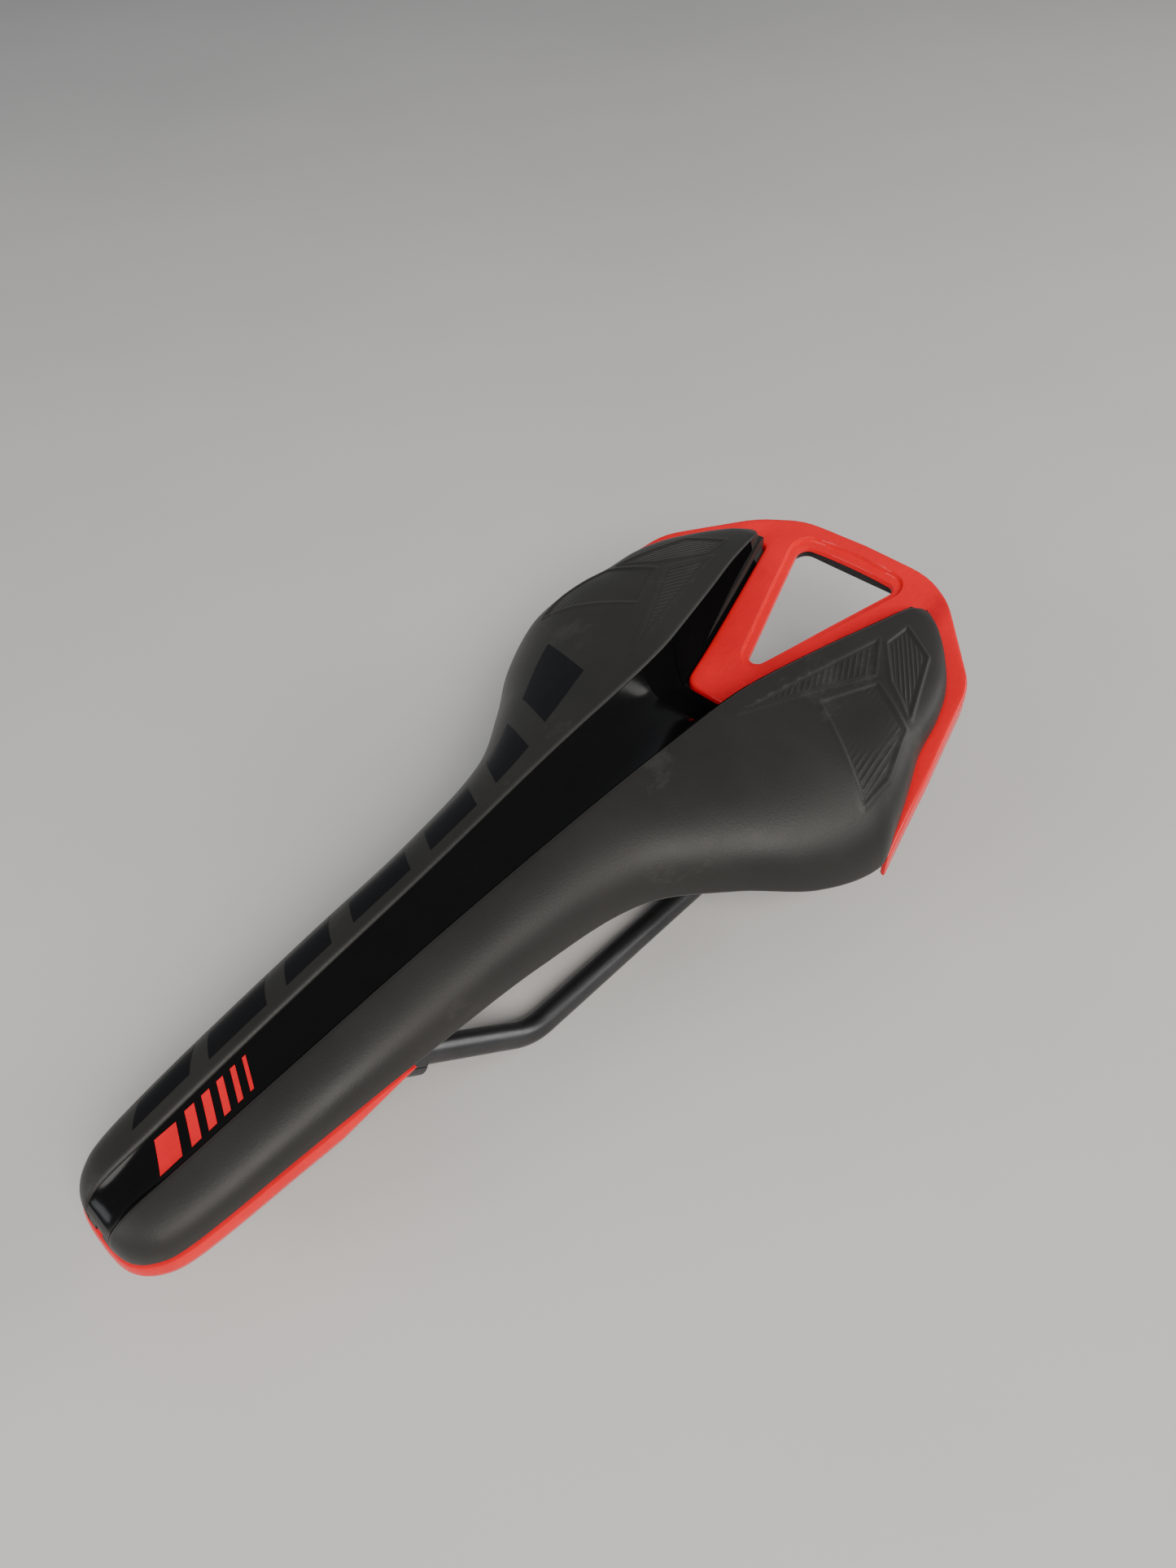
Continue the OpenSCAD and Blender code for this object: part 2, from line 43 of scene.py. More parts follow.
# ---- Design stations, in millimetres, as in the part's source ------------------
# Many of these numbers began as the output of a scratch script that fitted a camera and the
# outline to the photograph. They were then rounded, and some were changed.
# Every row starts with its place along the saddle.
# PAD: half width of the lower edge, its height, height of the crown, fullness of the arch
PAD = [(-139, 5.2, 23.8, 27, 2.4), (-138.4, 8.6, 23.8, 29, 2.4), (-137, 11.6, 23.8, 31, 2.6),
       (-134.5, 14.2, 24, 32.6, 2.8), (-130, 16.6, 24.4, 33.8, 3), (-120, 18.4, 25.8, 35.2, 3),
       (-100, 20.1, 28, 38.4, 3), (-65, 22.6, 30.4, 43.4, 3), (-30, 25.5, 31.8, 48, 2.8),
       (0, 32, 33, 52, 2.5), (20, 46, 31, 54, 2.3), (36, 59.6, 27.8, 55, 2.3),
       (52, 67.1, 28.4, 56, 2.6), (61, 65, 33, 56.4, 3.2), (70, 61.9, 38.4, 56.8, 3.6),
       (79, 58.4, 43.2, 57, 3.6), (90, 56.2, 46.8, 57.2, 3.6), (99, 52.8, 49.4, 57.4, 3.2),
       (108, 46.6, 51.6, 57.4, 2.8), (116, 39.4, 53.2, 57.2, 2.5), (121, 33, 54, 56.6, 2.5)]
# EDGE: half width of the channel between the pads. CHANNEL: height of its floor
EDGE = [(-139, 4.6), (-134, 4.9), (-90, 6.3), (-40, 7.8), (10, 10.4), (40, 12), (52, 12.8),
        (62, 14.2), (86, 20), (103, 24.6), (121, 28.6)]
CHANNEL = [(-139, 26), (-137.4, 29), (-134, 30.8), (-90, 38.6), (-40, 45.4), (10, 51), (30, 51.4),
           (45, 48.6), (55, 43.8), (62, 40.6)]
# SHELL: height of its crown, height of its edge, half width
SHELL = [(-131, 26.8, 25.2, 12.6), (-128, 28, 25.4, 13.6), (-120, 29.6, 26.8, 15),
         (-100, 32.6, 29, 16.7), (-65, 37, 31.4, 19.2), (-30, 40.4, 32.8, 22.1), (0, 42.8, 34, 28.6),
         (20, 43.2, 32, 42.6), (36, 42.8, 28.8, 56.2), (52, 40.8, 29.4, 64), (62, 38.6, 33.6, 62.4),
         (70, 39, 37.2, 59.2), (81, 40.2, 40.2, 55.6), (92, 42.3, 42.6, 54.4), (105, 44.8, 45.2, 51),
         (121, 47.8, 48.4, 36), (137, 50.8, 51.4, 22)]
# The tail frame's height, BRIDGE in its middle and RIM outside. VEDGE: half width of the vee
BRIDGE = [(50, 41.8), (62, 42.1), (81, 43.7), (105, 48.3), (121, 51.3), (128, 52.6), (140, 55)]
RIM = [(50, 28.4), (53, 30.1), (61, 35), (70, 40), (77, 43.1), (90, 47), (105, 50.3), (120, 52.8),
       (140, 55.8)]
NOSE = -139.0  # the pads' and the trim's front end
TAIL = 137.0  # the tail frame's rear edge, in the middle
PAD_END = 121  # the pads' rear ends
END_ROUND = 4.5  # how long the rounding of the pads' rear ends is
END_DROP = 0.78  # share of the pad's height that the rounding takes away at the very end
VEE = 62  # from here on, the channel is split by the tail frame into two arms
VEE_FLOOR = 41.3  # the channel's height where it meets the tail frame's front tip
SKIN = 0.8  # thickness of the channel and its arms
# Corners of one half of the tail frame's outline, and the window's corner rounds (x, y, radius)
OUTLINE = [(68, 52), (63.4, 77), (56.3, 105.4), (27.5, TAIL - 0.9)]
WINDOW = [(0, 84.5, 2.6), (14, 125.6, 3), (-14, 125.6, 3)]
VEDGE = [(62, 9.5), (67, 11), (85, 16.2), (103, 21.2), (121, 26.4)]


def curve(table, y, c=1):
    """Smooth curve through the stations of a table, one value per column."""
    y = min(max(y, table[0][0]), table[-1][0])
    i = 0
    while i < len(table) - 2 and y >= table[i + 1][0]:
        i += 1

    def slope(k):
        a, b = table[max(k - 1, 0)], table[min(k + 1, len(table) - 1)]
        return (b[c] - a[c]) / (b[0] - a[0])

    h = table[i + 1][0] - table[i][0]
    t = (y - table[i][0]) / h
    m0, m1 = slope(i) * h, slope(i + 1) * h
    return (table[i][c] * (2 * t**3 - 3 * t**2 + 1) + m0 * (t**3 - 2 * t**2 + t)
            + table[i + 1][c] * (3 * t**2 - 2 * t**3) + m1 * (t**3 - t**2))


def smooth(t):
    """Smooth step from 0 to 1."""
    t = np.clip(t, 0, 1)
    return t * t * (3 - 2 * t)


def mix(a, b, t):
    return a + (b - a) * t


def arc_drop(d, r):
    """How far a rounded edge of radius r lies below its corner, at a distance d from it."""
    d = np.clip(d, 0, r)
    return r - np.sqrt(np.maximum(r * r - (r - d) ** 2, 0))


def pad_w(y):
    return curve(PAD, y, 1)


def crown(x, y):
    """Height of the pad's top surface over a place."""
    w, z, n = pad_w(y), curve(PAD, y, 2), curve(PAD, y, 4)
    return z + (curve(PAD, y, 3) - z) * max(0, 1 - min(1, abs(x) / w) ** n) ** (1 / n)


def shell_z(x, y):
    """Height of the shell's top surface over a place."""
    w, e, c = curve(SHELL, y, 3), curve(SHELL, y, 2), curve(SHELL, y, 1)
    return e + (c - e) * max(0, 1 - min(1, abs(x) / w) ** 2.4) ** (1 / 2.4)


def frame_z(x, y):
    """Height of the tail frame's top surface: the bridge in the middle, the rim outside."""
    s = float(smooth((abs(x) - 28) / 10))
    return mix(curve(BRIDGE, y), curve(RIM, y), s)


# ---- Mesh helpers -----------------------------------------------------------------
def make_mesh(name, verts, faces, mats, sharp):
    """Object from points in millimetres, smooth shaded but for edges sharper than an angle."""
    me = bpy.data.meshes.new(name)
    places = (np.asarray(verts, float) + [0, SHIFT, 0]) * MM
    me.from_pydata(places.tolist(), [], [list(map(int, f)) for f in faces])
    me.validate()
    for m in mats:
        me.materials.append(m)
    me.polygons.foreach_set("use_smooth", [True] * len(me.polygons))
    ob = bpy.data.objects.new(name, me)
    bpy.context.scene.collection.objects.link(ob)
    mark_sharp(me, sharp)
    me.update()
    return ob


def mark_sharp(me, degrees):
    """Edges whose faces meet at more than an angle are drawn sharp."""
    bm = bmesh.new()
    bm.from_mesh(me)
    limit = math.radians(degrees)
    for e in bm.edges:
        e.smooth = not (len(e.link_faces) == 2 and e.calc_face_angle(0) > limit)
    bm.to_mesh(me)
    bm.free()


def outward(ob):
    """Turn all faces of a closed mesh outwards."""
    bm = bmesh.new()
    bm.from_mesh(ob.data)
    bmesh.ops.recalc_face_normals(bm, faces=bm.faces)
    bm.to_mesh(ob.data)
    bm.free()
    return ob


def loft(rings):
    """Quads through closed rings of equal length, with one face at each end."""
    n, m = len(rings[0]), len(rings)
    verts = [p for r in rings for p in r]
    faces = []
    for j in range(m - 1):
        a = j * n
        faces += [(a + i, a + n + i, a + n + (i + 1) % n, a + (i + 1) % n) for i in range(n)]
    faces.append(tuple(range(n)))
    faces.append(tuple((m - 1) * n + i for i in range(n))[::-1])
    return verts, faces


def normals_2d(P):
    """Unit normals along an open line, to its left."""
    P = np.asarray(P, float)
    d = np.vstack([P[1] - P[0], P[2:] - P[:-2], P[-1] - P[-2]])
    d /= np.maximum(np.linalg.norm(d, axis=1), 1e-9)[:, None]
    return np.c_[-d[:, 1], d[:, 0]]


# ---- Materials ------------------------------------------------------------------------
def material(name, colour, roughness, metallic=0.0, **extra):
    m = bpy.data.materials.new(name)
    m.use_nodes = True
    b = m.node_tree.nodes["Principled BSDF"]
    b.inputs["Base Color"].default_value = (*colour, 1)
    b.inputs["Roughness"].default_value = roughness
    b.inputs["Metallic"].default_value = metallic
    for k, v in extra.items():
        b.inputs[k.replace("_", " ")].default_value = v
    return m


def add(m, kind, **values):
    """New shader node, with its properties and input values."""
    n = m.node_tree.nodes.new(kind)
    for k, v in values.items():
        if hasattr(n, k):
            setattr(n, k, v)
        else:
            n.inputs[k.replace("_", " ")].default_value = v
    return n


def wire(m, a, b):
    m.node_tree.links.new(a, b)


def coords(m, scale=(1, 1, 1)):
    """Object coordinates, stretched per axis."""
    c = add(m, "ShaderNodeTexCoord")
    p = add(m, "ShaderNodeMapping")
    p.inputs["Scale"].default_value = scale
    wire(m, c.outputs["Object"], p.inputs["Vector"])
    return p.outputs["Vector"]


def noise(m, where, scale, detail=3.0, rough=0.5):
    n = add(m, "ShaderNodeTexNoise", Scale=scale, Detail=detail, Roughness=rough)
    wire(m, where, n.inputs["Vector"])
    return n.outputs["Fac"]


def ramp(m, source, stops):
    """Colour ramp over a value; a stop is its position with a grey value or a colour."""
    r = add(m, "ShaderNodeValToRGB")
    el = r.color_ramp.elements
    while len(el) < len(stops):
        el.new(0.5)
    for e, (p, v) in zip(el, stops):
        e.position = p
        e.color = (*v, 1) if hasattr(v, "__len__") else (v, v, v, 1)
    wire(m, source, r.inputs["Fac"])
    return r.outputs["Color"]


def maths(m, op, a, b=None):
    n = add(m, "ShaderNodeMath", operation=op)
    for k, v in ((0, a), (1, b)):
        if v is None:
            continue
        if isinstance(v, (int, float)):
            n.inputs[k].default_value = v
        else:
            wire(m, v, n.inputs[k])
    return n.outputs[0]


def bump(m, height, distance, strength=1.0):
    n = add(m, "ShaderNodeBump", Strength=strength, Distance=distance)
    wire(m, height, n.inputs["Height"])
    return n


def socket(m, name):
    return m.node_tree.nodes["Principled BSDF"].inputs[name]


def cover_material():
    m = material("microfibre", (0.018, 0.0175, 0.0165), 0.5, Sheen_Weight=0.07, Sheen_Roughness=0.45,
                 Specular_IOR_Level=0.38)
    at = coords(m)
    big, fine = noise(m, at, 22, 4, 0.6), noise(m, at, 2600, 2, 0.6)
    scuff = noise(m, coords(m, (1, 0.55, 1)), 60, 6, 0.72)
    tone = ramp(m, big, [(0.3, (0.0132, 0.0127, 0.0114)), (0.7, (0.0208, 0.0196, 0.0174))])
    dust = ramp(m, scuff, [(0.58, 0), (0.8, 0.45)])
    n = add(m, "ShaderNodeMix", data_type="RGBA")
    wire(m, dust, n.inputs[0])
    wire(m, tone, n.inputs[6])
    n.inputs[7].default_value = (0.08, 0.075, 0.067, 1)
    wire(m, n.outputs[2], socket(m, "Base Color"))
    r = ramp(m, maths(m, "ADD", maths(m, "MULTIPLY", big, 0.6), maths(m, "MULTIPLY", scuff, 0.4)),
             [(0.3, 0.44), (0.75, 0.6)])
    wire(m, r, socket(m, "Roughness"))
    pores = add(m, "ShaderNodeTexVoronoi", Scale=1500.0)
    wire(m, at, pores.inputs["Vector"])
    grain = maths(m, "ADD", maths(m, "MULTIPLY", fine, 0.5),
                  maths(m, "MULTIPLY", pores.outputs["Distance"], 0.6))
    first = bump(m, grain, 0.00006, 0.55)
    phase = add(m, "ShaderNodeAttribute", attribute_name="rib_phase").outputs["Fac"]
    mask = add(m, "ShaderNodeAttribute", attribute_name="rib_mask").outputs["Fac"]
    wave = maths(m, "SINE", maths(m, "MULTIPLY", phase, 2 * math.pi))
    ribs = maths(m, "MULTIPLY", maths(m, "SMOOTH_MAX", wave, -0.35), mask)
    second = bump(m, ribs, 0.00018, 0.65)
    wire(m, first.outputs["Normal"], second.inputs["Normal"])
    wire(m, second.outputs["Normal"], socket(m, "Normal"))
    return m


def gloss_material(name, colour, rough, level, spread=0.1, spots=0.0006, coat=0.0):
    """Gloss plastic or print: level is its specular level, spread the wear in its roughness."""
    m = material(name, colour, rough, Coat_Weight=coat, Coat_Roughness=0.1, Specular_IOR_Level=level)
    at = coords(m)
    wear, haze = noise(m, at, 45, 5, 0.65), noise(m, coords(m, (1, 0.2, 1)), 900, 3, 0.7)
    wire(m, ramp(m, wear, [(0.35, rough), (0.75, rough + spread)]), socket(m, "Roughness"))
    light = tuple(min(1, c * 1.12 + spots) for c in colour)
    dark = tuple(c * 0.9 for c in colour)
    wire(m, ramp(m, maths(m, "ADD", maths(m, "MULTIPLY", wear, 0.7), maths(m, "MULTIPLY", haze, 0.3)),
                 [(0.35, dark), (0.7, light)]), socket(m, "Base Color"))
    wire(m, bump(m, noise(m, at, 700, 2, 0.5), 0.00001, 0.35).outputs["Normal"], socket(m, "Normal"))
    return m


def nylon_material(name, colour, rough):
    """Moulded nylon with a fine grain."""
    m = material(name, colour, rough)
    at = coords(m)
    wire(m, ramp(m, noise(m, at, 90, 5, 0.6), [(0.3, rough - 0.08), (0.75, rough + 0.12)]),
         socket(m, "Roughness"))
    tone = ramp(m, noise(m, at, 35, 4, 0.6),
                [(0.3, tuple(c * 0.8 for c in colour)), (0.7, tuple(c * 1.3 for c in colour))])
    wire(m, tone, socket(m, "Base Color"))
    wire(m, bump(m, noise(m, at, 1900, 3, 0.6), 0.00008, 0.5).outputs["Normal"], socket(m, "Normal"))
    return m


def metal_material(name, colour, rough, along):
    """Metal, with its grain drawn out along the saddle if asked."""
    m = material(name, colour, rough, metallic=0.9)
    scale = (1, 0.04, 1) if along else (1, 1, 1)
    brushed = noise(m, coords(m, scale), 2400, 3, 0.6)
    wire(m, ramp(m, brushed, [(0.3, rough - 0.04), (0.7, rough + 0.07)]), socket(m, "Roughness"))
    tone = ramp(m, noise(m, coords(m), 60, 4, 0.6),
                [(0.3, tuple(c * 0.82 for c in colour)), (0.72, tuple(c * 1.15 for c in colour))])
    wire(m, tone, socket(m, "Base Color"))
    wire(m, bump(m, brushed, 0.00002, 0.4).outputs["Normal"], socket(m, "Normal"))
    return m


COVER = cover_material()
GLOSS = gloss_material("gloss_black", (0.004, 0.004, 0.0043), 0.17, level=0.14)
# No specular level on the arms, or they would mirror the red tail frame beside them
ARM = gloss_material("gloss_black_arm", (0.004, 0.004, 0.0043), 0.34, level=0.0, spread=0.08)
PRINT = gloss_material("gloss_print", (0.0045, 0.0045, 0.005), 0.26, level=0.25)
RED = gloss_material("gloss_red", (0.84, 0.006, 0.014), 0.26, level=0.3, spots=0.001, coat=0.1)
INK = gloss_material("red_print", (0.8, 0.008, 0.018), 0.4, level=0.15, spots=0.001)
NYLON = nylon_material("moulded_nylon", (0.018, 0.018, 0.019), 0.5)
HOLDER = nylon_material("holder_nylon", (0.022, 0.022, 0.024), 0.42)
RAIL = metal_material("rail_metal", (0.085, 0.085, 0.088), 0.36, True)
STEEL = metal_material("screw_steel", (0.5, 0.5, 0.52), 0.28, False)

# ---- Moulded relief on the wings ---------------------------------------------------------
# Each panel: outline, direction of its ribs, rib spacing, and a place with a radius around it
# towards which the ribs fade out. The corners were picked on the photograph, projected onto the
# pad by a scratch script and rounded.
PANELS = [
    ([(18.8, 51), (30.2, 98.6), (37.5, 86)], (0.49, -0.87), 1.55, None),
    ([(32.7, 99.1), (33, 108.6), (43.8, 102.4), (52.8, 80.6), (42.3, 87.4)], (0.6, -0.8), 1.25, None),
    ([(32.8, 68.2), (39.9, 84), (54, 77), (59, 62.5), (58.8, 53)], (0.12, -0.99), 1.5, (44, 70, 16)),
]
RIDGE = 0.32  # height of the ridge around a panel
RECESS = 0.22  # how far a panel's floor lies below the pad
FADE_CORE = 7  # the ribs are nearly gone within this distance of a panel's fading place


def to_segments(x, y, poly, closed=True):
    """Distance from points to a polygon's outline, or to an open line."""
    best = np.full(x.shape, 1e9)
    for k in range(len(poly) if closed else len(poly) - 1):
        (ax, ay), (bx, by) = poly[k], poly[(k + 1) % len(poly)]
        dx, dy = bx - ax, by - ay
        t = np.clip(((x - ax) * dx + (y - ay) * dy) / (dx * dx + dy * dy), 0, 1)
        best = np.minimum(best, np.hypot(x - ax - t * dx, y - ay - t * dy))
    return best


def inside(x, y, poly):
    """Which points are inside a polygon."""
    odd = np.zeros(x.shape, bool)
    for k in range(len(poly)):
        (ax, ay), (bx, by) = poly[k], poly[(k + 1) % len(poly)]
        with np.errstate(divide="ignore", invalid="ignore"):
            cross = (bx - ax) * (y - ay) / (by - ay if by != ay else 1e-9) + ax
        odd ^= ((ay > y) != (by > y)) & (x < cross)
    return odd


def relief(x, y):
    """Height of the relief, rib phase and rib mask over places on the +X wing."""
    height, phase, mask = np.zeros(x.shape), np.zeros(x.shape), np.zeros(x.shape)
    for poly, (dx, dy), pitch, fade in PANELS:
        d = to_segments(x, y, poly) * np.where(inside(x, y, poly), 1, -1)
        ridge, floor = np.exp(-((d + 0.3) / 0.45) ** 2), smooth((d + 0.1) / 0.8)
        height += RIDGE * ridge - RECESS * floor
        on = smooth((d - 0.9) / 0.5)
        if fade:
            gone = np.hypot(x - fade[0], y - fade[1])
            on *= mix(0.04, 0.9, smooth((gone - FADE_CORE) / (fade[2] - FADE_CORE)))
        across = (x * dy - y * dx) / pitch
        phase = np.where(d > 0, across, phase)
        mask = np.where(d > 0, on, mask)
    return height, phase, mask


# ---- Pads with their cover -----------------------------------------------------------------
CROWN_N = 110  # points over the top of one pad's section
LOW_N = 8  # points along its underside and along its inner side


def edge_in(y):
    """Where the pad's inner edge lies, bending outwards in a round at the tail end."""
    past = max(0, (y - (PAD_END - END_ROUND)) / END_ROUND)
    return curve(EDGE, y) + 2.4 * (1 - math.sqrt(max(0, 1 - past ** 2)))


def rounded_crown(x, y):
    """The crown, brought down in a round over the last millimetres before the tail end."""
    low = curve(PAD, y, 2)
    return low + (crown(x, y) - low) * end_share(y)


def end_share(y):
    """Share of the pad's height that is left, 1 but for the round before the tail end."""
    return 1 - END_DROP * float(arc_drop(PAD_END - y, END_ROUND)) / END_ROUND


def flank(y, count):
    """Inner side of a pad: the gloss panel's section from the middle or the V edge up to the pad."""
    xe, ze = edge_in(y) - 0.05, rounded_crown(edge_in(y), y) - 0.8 * end_share(y)
    s = float(smooth((y - 34) / 28))
    x0 = 0.5 + 9 * s if y < VEE else curve(VEDGE, y)
    if y < 52:
        z0 = curve(CHANNEL, y)
    elif y < VEE:
        z0 = mix(curve(CHANNEL, 52), VEE_FLOOR, float(smooth((y - 51) / 10)))
    else:
        z0 = curve(BRIDGE, y) - 1.0
    px, pz = mix(0.8, 0.95, s), mix(2.4, 1.75, s)  # how the section hollows across and in height
    t = np.linspace(0, 1, count)
    return np.c_[x0 + (xe - x0) * t**px, z0 + (ze - z0) * t**pz]


def pad_ring(y):
    """Closed section of one pad on the +X side, and the relief data along it."""
    w, ze, n = pad_w(y), curve(PAD, y, 2), curve(PAD, y, 4)
    top, e = curve(PAD, y, 3), edge_in(y)
    a0 = math.asin(min(1, (e / w) ** (n / 2)))
    a = a0 + (math.pi / 2 - a0) * np.linspace(0, 1, CROWN_N)
    x = w * np.sin(a) ** (2 / n)
    z = ze + (top - ze) * np.maximum(np.cos(a), 0) ** (2 / n)
    seg = np.r_[0, np.cumsum(np.hypot(np.diff(x), np.diff(z)))]
    even = np.linspace(0, seg[-1], CROWN_N)
    x, z = np.interp(even, seg, x), np.interp(even, seg, z)
    nrm = normals_2d(np.c_[x, z])
    h, phase, mask = relief(x, np.full(x.shape, y))
    x, z = x + nrm[:, 0] * h, z + nrm[:, 1] * h
    span = even[-1]
    inner_round, outer_round = min(1.8, span * 0.3), min(1.4, span * 0.25)
    z = z - arc_drop(even, inner_round) * 0.85
    x = x - arc_drop(even[-1] - even, outer_round) * 0.8
    z = ze + (z - ze) * end_share(y)
    hem = min(9, (w - e) * 0.45)  # how far the cover is turned under
    inner = flank(y, LOW_N)[::-1] + [1.0, -0.6]  # just under the channel's surface
    inner[:, 0] = np.minimum(inner[:, 0], x[0] + 0.05)
    low = [(w - 1.4, ze - 0.1), (w - hem, ze), (w - hem, ze + 0.8)]
    xb = np.linspace(max(w - hem - 0.5, inner[-1, 0] + 0.4), inner[-1, 0], LOW_N)
    before_shell = y < SHELL[0][0] - 0.1
    zb = [ze + 0.9 if before_shell else max(shell_z(v, y) + 0.3, ze + 0.2) for v in xb]
    zb = np.minimum(zb, [rounded_crown(v, y) - 1.2 for v in xb])
    ring = np.vstack([np.c_[x, z], low, np.c_[xb, zb], inner[::-1]])
    pts = np.c_[ring[:, 0], np.full(len(ring), y), ring[:, 1]]
    extra = len(ring) - CROWN_N
    return pts, np.r_[phase, np.zeros(extra)], np.r_[mask, np.zeros(extra)]


def stations(*parts):
    """Places along the saddle, from parts of (from, to, step), without near repeats."""
    ys = [y for a, b, s in parts for y in np.arange(a, b, s)]
    return [y for k, y in enumerate(ys) if k == 0 or y - ys[k - 1] > 0.05]


def build_pad(name, side):
    ys = stations((NOSE, -137, 0.25), (-137, -130, 0.6), (-130, 44, 1.4), (44, 110, 0.5),
                  (110, 120, 0.6), (120, PAD_END + 0.01, 0.25))
    rings, phase, mask = [], [], []
    for y in ys:
        p, a, b = pad_ring(y)
        rings.append(p * np.array([side, 1, 1]))
        phase.append(a)
        mask.append(b)
    verts, faces = loft(rings)
    ob = outward(make_mesh(name, verts, faces, [COVER], sharp=50))
    for label, rows in (("rib_phase", phase), ("rib_mask", mask)):
        at = ob.data.attributes.new(label, "FLOAT", "POINT")
        at.data.foreach_set("value", np.concatenate(rows).astype(np.float32))
    return ob


pad_left = build_pad("pad_left_cover", 1)
pad_right = build_pad("pad_right_cover", -1)


# ---- Gloss channel and its two arms --------------------------------------------------------
def thin(P, t):
    """Lower side of a skin of thickness t."""
    return P - normals_2d(P) * t


def channel_ring(y):
    half = flank(y, 26)
    whole = np.vstack([half[::-1] * [-1, 1], half])
    ring = np.vstack([whole, thin(whole, SKIN)[::-1]])
    return np.c_[ring[:, 0], np.full(len(ring), y), ring[:, 1]]


def arm_ring(y, side):
    half = flank(y, 24)
    ring = np.vstack([half, thin(half, SKIN)[::-1]])
    return np.c_[ring[:, 0] * side, np.full(len(ring), y), ring[:, 1]]


def faces_where(ob, test, index):
    """Give a material slot to the faces whose middle passes a test."""
    for p in ob.data.polygons:
        if test(p.center / MM - Vector((0, SHIFT, 0))):
            p.material_index = index


SPLIT = VEE + 0.6  # where the channel panel ends and its arms begin
ARM_STATIONS = stations((SPLIT, 112, 1.0), (112, 119.6, 0.6))
ys = stations((-138.4, -134, 0.4), (-134, -120, 0.8), (-120, 40, 2.0), (40, SPLIT, 0.6))
rings = [channel_ring(y) for y in ys]
fold = rings[0].copy()  # the nose end turns down behind the trim
fold[:, 1], fold[:, 2] = -138.75, 23.9 - 0.9 * (np.arange(len(fold)) >= len(fold) // 2)
verts, faces = loft([fold] + rings)
channel = outward(make_mesh("channel_panel", verts, faces, [GLOSS, COVER, ARM], sharp=50))
faces_where(channel, lambda c: c.y < -137.3, 1)  # the cover closes the nose end
faces_where(channel, lambda c: c.y > 48, 2)  # the floor of the vee looks like the arms
arms = []
for side, label in ((1, "left"), (-1, "right")):
    verts, faces = loft([arm_ring(y, side) for y in ARM_STATIONS])
    arm = outward(make_mesh("channel_arm_" + label, verts, faces, [ARM, COVER], sharp=50))
    faces_where(arm, lambda c: c.y > 113.5, 1)  # the cover closes the tail end
    arms.append(arm)


# ---- Tail frame ------------------------------------------------------------------------------
def quad_curve(a, p, b, r, n=8):
    """Rounding of the corner p between a and b, starting a distance r from it."""
    a, p, b = map(np.array, (a, p, b))
    u, v = p + r * (a - p) / np.linalg.norm(a - p), p + r * (b - p) / np.linalg.norm(b - p)
    t = np.linspace(0, 1, n)[:, None]
    return (1 - t) ** 2 * u + 2 * t * (1 - t) * p + t**2 * v


def resample(P, step, closed):
    """Points an even step apart along a line."""
    P = np.asarray(P, float)
    if closed:
        P = np.vstack([P, P[:1]])
    s = np.r_[0, np.cumsum(np.linalg.norm(np.diff(P, axis=0), axis=1))]
    n = max(2, int(round(s[-1] / step)))
    at = np.linspace(0, s[-1], n + 1)
    Q = np.c_[np.interp(at, s, P[:, 0]), np.interp(at, s, P[:, 1])]
    return Q[:-1] if closed else Q


start = mix(np.array(OUTLINE[0]), np.array(OUTLINE[1]), 0.085)
tail_half = np.vstack([[start], quad_curve(OUTLINE[0], OUTLINE[1], OUTLINE[2], 3),
                       quad_curve(OUTLINE[1], OUTLINE[2], OUTLINE[3], 5),
                       quad_curve(OUTLINE[2], OUTLINE[3], (0, TAIL), 11), [[0, TAIL]]])
pad_outer = np.array([(pad_w(y) - 1.0, y) for y in np.linspace(54.2, 118, 80)])
pad_inner = np.array([(curve(VEDGE, y) - 0.2, y) for y in np.linspace(67, 119.2, 50)])
corner = np.vstack([quad_curve(pad_inner[-1], (26.5, 120.7), (31, 120.7), 1.0),
                    quad_curve((28, 120.7), (32.4, 120.7), pad_outer[-1], 1.6)])
tip = quad_curve((0, 62.9), (9.5, 62.9), pad_inner[0], 3.9)
half_loop = np.vstack([[[0, 62.9]], tip, pad_inner, corner, pad_outer[::-1], tail_half])
half_loop = resample(half_loop, 0.8, False)
outer_loop = np.vstack([half_loop, (half_loop * [-1, 1])[::-1][1:-1]])


def window_loop(m):
    """Outline of the window widened by m: the hull of three corner rounds, its rear edge bowed."""
    pts = []
    for cx, cy, r in WINDOW:
        a = np.linspace(0, 2 * np.pi, 90, endpoint=False)
        pts.append(np.c_[cx + (r + m) * np.cos(a), cy + (r + m) * np.sin(a)])
    P = np.vstack(pts)
    P = P[np.lexsort((P[:, 1], P[:, 0]))]

    def turn(a, b, c):
        return (b[0] - a[0]) * (c[1] - a[1]) - (b[1] - a[1]) * (c[0] - a[0])

    def chain(Q):
        h = []
        for p in Q:
            while len(h) > 1 and turn(h[-2], h[-1], p) <= 0:
                h.pop()
            h.append(p)
        return h

    hull = chain(P)[:-1] + chain(P[::-1])[:-1]
    Q = resample(np.array(hull), 0.6, True)
    Q[:, 1] += 0.9 * smooth((Q[:, 1] - 122) / 4) * (1 - (Q[:, 0] / (17 + m)) ** 2)
    return Q


win = window_loop(0)


def offset_points(loop, d):
    """Points a distance d inside a closed loop, but for those that come nearer to it."""
    after = np.roll(loop, -1, 0)
    turned_area = np.sum(loop[:, 0] * after[:, 1] - after[:, 0] * loop[:, 1])
    t = after - np.roll(loop, 1, 0)
    t /= np.linalg.norm(t, axis=1)[:, None]
    P = loop + np.sign(turned_area) * d * np.c_[-t[:, 1], t[:, 0]]
    return P[away_from(P, loop) > d * 0.97]


